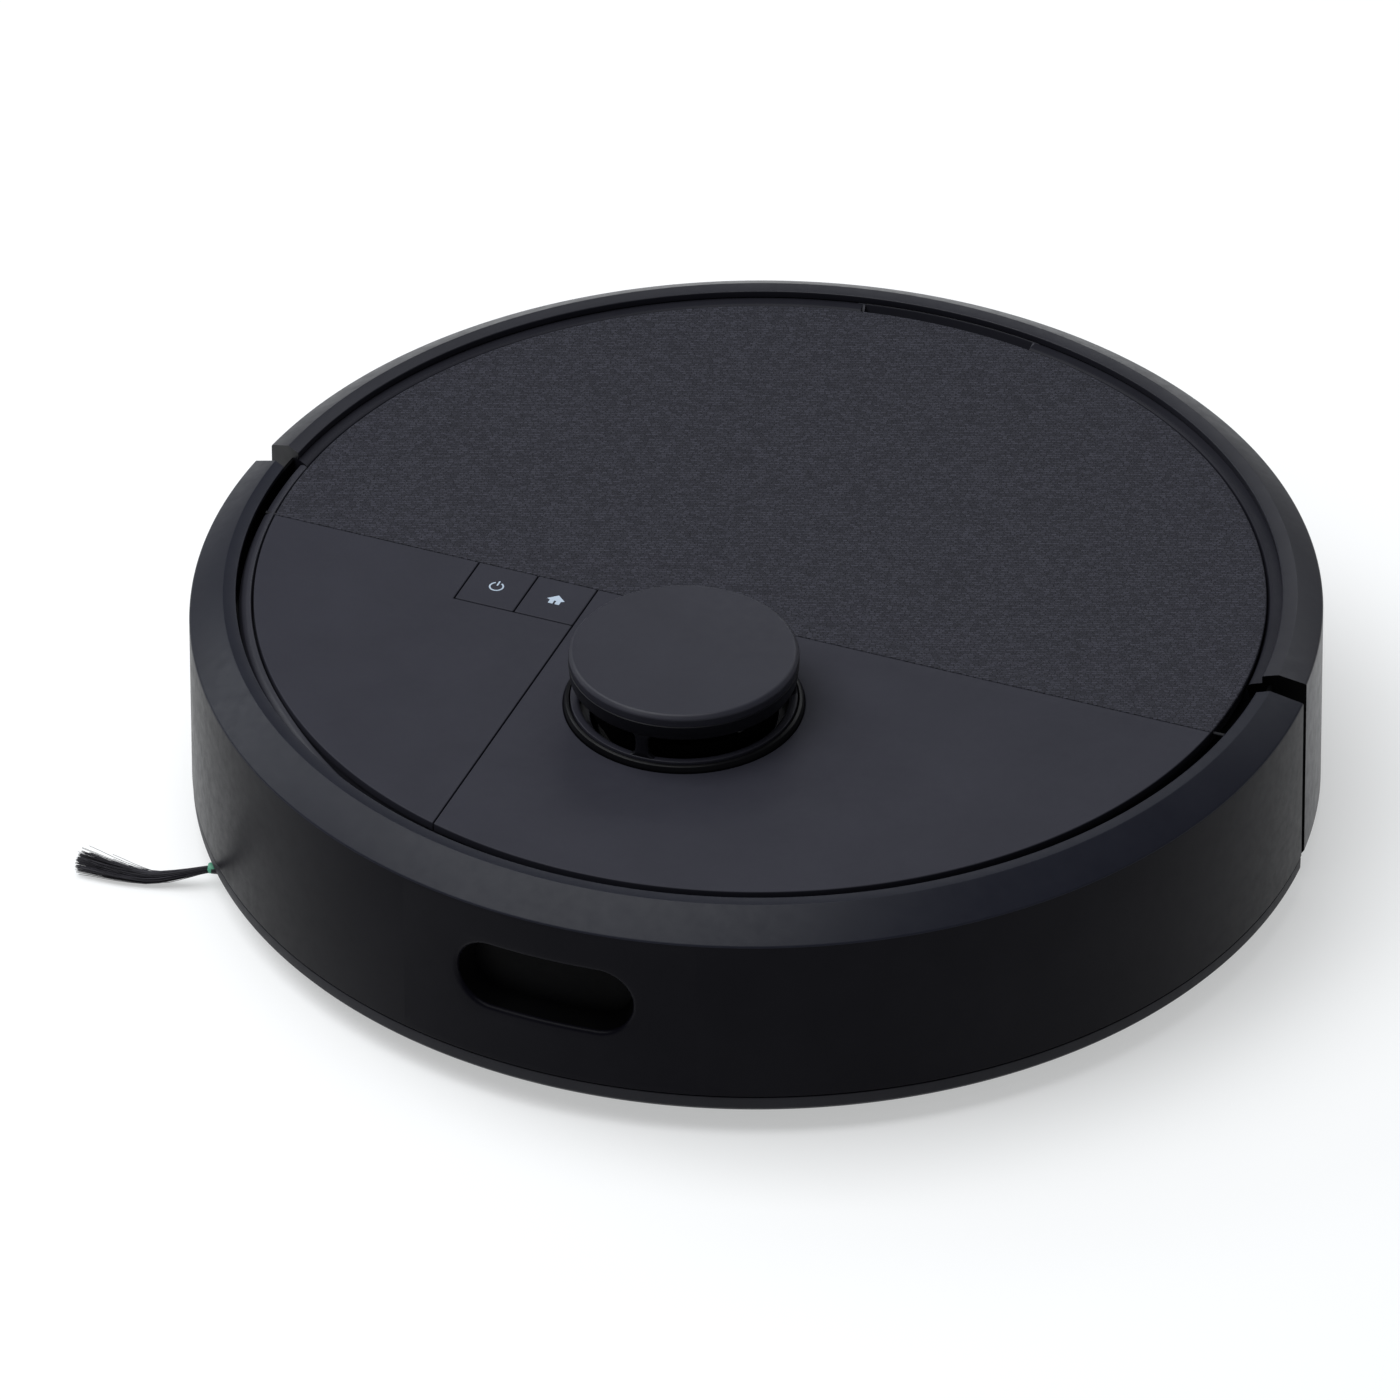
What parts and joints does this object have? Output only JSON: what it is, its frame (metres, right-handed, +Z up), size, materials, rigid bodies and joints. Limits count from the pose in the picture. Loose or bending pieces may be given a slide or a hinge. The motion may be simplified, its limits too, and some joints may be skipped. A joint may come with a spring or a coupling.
{
  "type": "robot vacuum cleaner",
  "caption": "Low round robot vacuum with a laser turret, sprung front bumper, hinged rear lid over a dust bin, sprung drive wheels, caster, roller brush and corner side brush.",
  "frame": {"origin": "on the floor under the centre of the round body (the lid disc's axis), about 2 mm behind the middle of the bounding box", "axes": "+Z up, -Y forward (the bumper's side), +X the robot's own left"},
  "size_m": [0.351, 0.352, 0.0965],
  "materials": {
    "matt_charcoal": "fine matt",
    "woven_charcoal": "fabric-like weave",
    "satin_charcoal": "satin",
    "lip_charcoal": "matt",
    "black_plastic": "matt",
    "gloss_black": "gloss",
    "steel": "brushed",
    "contact_metal": "plated",
    "rubber": "matt rubber",
    "tread_rubber": "block tread",
    "grey_plastic": "moulded",
    "smoked_plastic": "smoked clear",
    "filter_white": "pleated paper",
    "board_green": "solder mask",
    "battery_wrap": "wrapped cells",
    "gear_train": "grey housing",
    "motor_metal": "plated can",
    "bristle": "nylon bristles",
    "brush_rubber": "soft fins",
    "lens": "coated lens"
  },
  "bodies": {
    "chassis": {"chassis_pan": "matt_charcoal", "upper_deck": "satin_charcoal", "rear_shell": "matt_charcoal", "front_panel_right": "matt_charcoal", "front_panel_left": "matt_charcoal", "turret_base_ring": "gloss_black", "turret_cage": "gloss_black", "turret_motor": "motor_metal", "drive_belt": "rubber", "main_board": "board_green", "battery_pack": "battery_wrap", "battery_cover": "matt_charcoal", "cover_screw_left": "steel", "cover_screw_right": "steel", "lid_hinge_pin_left": "steel", "lid_hinge_pin_right": "steel", "charge_contact_left": "contact_metal", "charge_contact_right": "contact_metal", "cliff_window_left": "gloss_black", "cliff_window_right": "gloss_black", "fan_housing": "grey_plastic", "brush_tunnel": "black_plastic", "brush_bearing_left": "grey_plastic", "brush_bearing_right": "grey_plastic", "brush_guard": "black_plastic", "brush_gearbox": "gear_train", "side_brush_motor": "motor_metal", "suspension_spring_left": "steel", "suspension_spring_right": "steel", "dust_bin": "smoked_plastic", "bin_cover": "grey_plastic", "bin_handle": "black_plastic", "bin_filter": "filter_white", "exhaust_grille": "grey_plastic", "bumper_spring_left": "steel", "bumper_spring_right": "steel"},
    "bumper": {"bumper_shell": "matt_charcoal", "bumper_lip": "lip_charcoal", "dock_window": "gloss_black"},
    "lid": {"rear_lid": "woven_charcoal"},
    "power_key": {"power_button": "matt_charcoal"},
    "home_key": {"home_button": "matt_charcoal"},
    "turret_head": {"turret_rotor": "black_plastic", "laser_lens": "lens", "receiver_lens": "lens"},
    "pulley": {"motor_pulley": "grey_plastic"},
    "arm_left": {"wheel_gearbox_left": "gear_train"},
    "arm_right": {"wheel_gearbox_right": "gear_train"},
    "wheel_left": {"wheel_hub_left": "grey_plastic", "tyre_left": "tread_rubber"},
    "wheel_right": {"wheel_hub_right": "grey_plastic", "tyre_right": "tread_rubber"},
    "caster_swivel": {"caster_fork": "black_plastic"},
    "caster_roller": {"caster_wheel": "rubber"},
    "brush_roll": {"main_brush": "brush_rubber"},
    "side_brush": {"side_brush_hub": "black_plastic", "side_brush_tuft_1": "bristle", "side_brush_tuft_2": "bristle", "side_brush_tuft_3": "bristle"},
    "impeller": {"fan_impeller": "grey_plastic"}
  },
  "joints": [
    {"name": "bumper_press", "type": "slide", "parent": "chassis", "child": "bumper", "axis": [0, 1, 0], "range_m": [0, 0.004], "stiffness_N_per_m": 600, "deforming": ["bumper_spring_left", "bumper_spring_right"]},
    {"name": "lid_hinge", "type": "hinge", "parent": "chassis", "child": "lid", "pos_m": [0, -0.015, 0.075], "axis": [1, 0, 0], "range_deg": [0, 80]},
    {"name": "power_key_press", "type": "hinge", "parent": "chassis", "child": "power_key", "pos_m": [-0.077, -0.0371, 0.0762], "axis": [-1, 0, 0], "range_deg": [0, 3.2], "stiffness_Nm_per_rad": 1.2},
    {"name": "home_key_press", "type": "hinge", "parent": "chassis", "child": "home_key", "pos_m": [-0.0572, -0.0371, 0.0762], "axis": [-1, 0, 0], "range_deg": [0, 3.2], "stiffness_Nm_per_rad": 1.2},
    {"name": "turret_spin", "type": "hinge", "parent": "chassis", "child": "turret_head", "pos_m": [0, -0.0625, 0.073], "axis": [0, 0, 1], "continuous": true},
    {"name": "pulley_spin", "type": "hinge", "parent": "chassis", "child": "pulley", "pos_m": [0.045, -0.0625, 0.069], "axis": [0, 0, 1], "continuous": true},
    {"name": "suspension_left", "type": "hinge", "parent": "chassis", "child": "arm_left", "pos_m": [0.0995, -0.048, 0.034], "axis": [-1, 0, 0], "range_deg": [0, 28], "stiffness_Nm_per_rad": 0.25, "springref_deg": 45.84, "deforming": ["suspension_spring_left"]},
    {"name": "suspension_right", "type": "hinge", "parent": "chassis", "child": "arm_right", "pos_m": [-0.0995, -0.048, 0.034], "axis": [-1, 0, 0], "range_deg": [0, 28], "stiffness_Nm_per_rad": 0.25, "springref_deg": 45.84, "deforming": ["suspension_spring_right"]},
    {"name": "wheel_spin_left", "type": "hinge", "parent": "arm_left", "child": "wheel_left", "pos_m": [0.117, 0, 0.033], "axis": [1, 0, 0], "continuous": true},
    {"name": "wheel_spin_right", "type": "hinge", "parent": "arm_right", "child": "wheel_right", "pos_m": [-0.117, 0, 0.033], "axis": [1, 0, 0], "continuous": true},
    {"name": "caster_turn", "type": "hinge", "parent": "chassis", "child": "caster_swivel", "pos_m": [0, -0.124, 0.02], "axis": [0, 0, 1], "continuous": true},
    {"name": "caster_roll", "type": "hinge", "parent": "caster_swivel", "child": "caster_roller", "pos_m": [0, -0.117, 0.0105], "axis": [1, 0, 0], "continuous": true},
    {"name": "brush_spin", "type": "hinge", "parent": "chassis", "child": "brush_roll", "pos_m": [0, 0.0235, 0.0205], "axis": [1, 0, 0], "continuous": true},
    {"name": "side_brush_spin", "type": "hinge", "parent": "chassis", "child": "side_brush", "pos_m": [-0.104, -0.097, 0.006], "axis": [0, 0, 1], "continuous": true},
    {"name": "impeller_spin", "type": "hinge", "parent": "chassis", "child": "impeller", "pos_m": [0.085, 0.084, 0.04], "axis": [0, 0, 1], "continuous": true}
  ],
  "couplings": [
    {"joint": "pulley_spin", "follows": "turret_spin", "ratio": 4.7736}
  ]
}
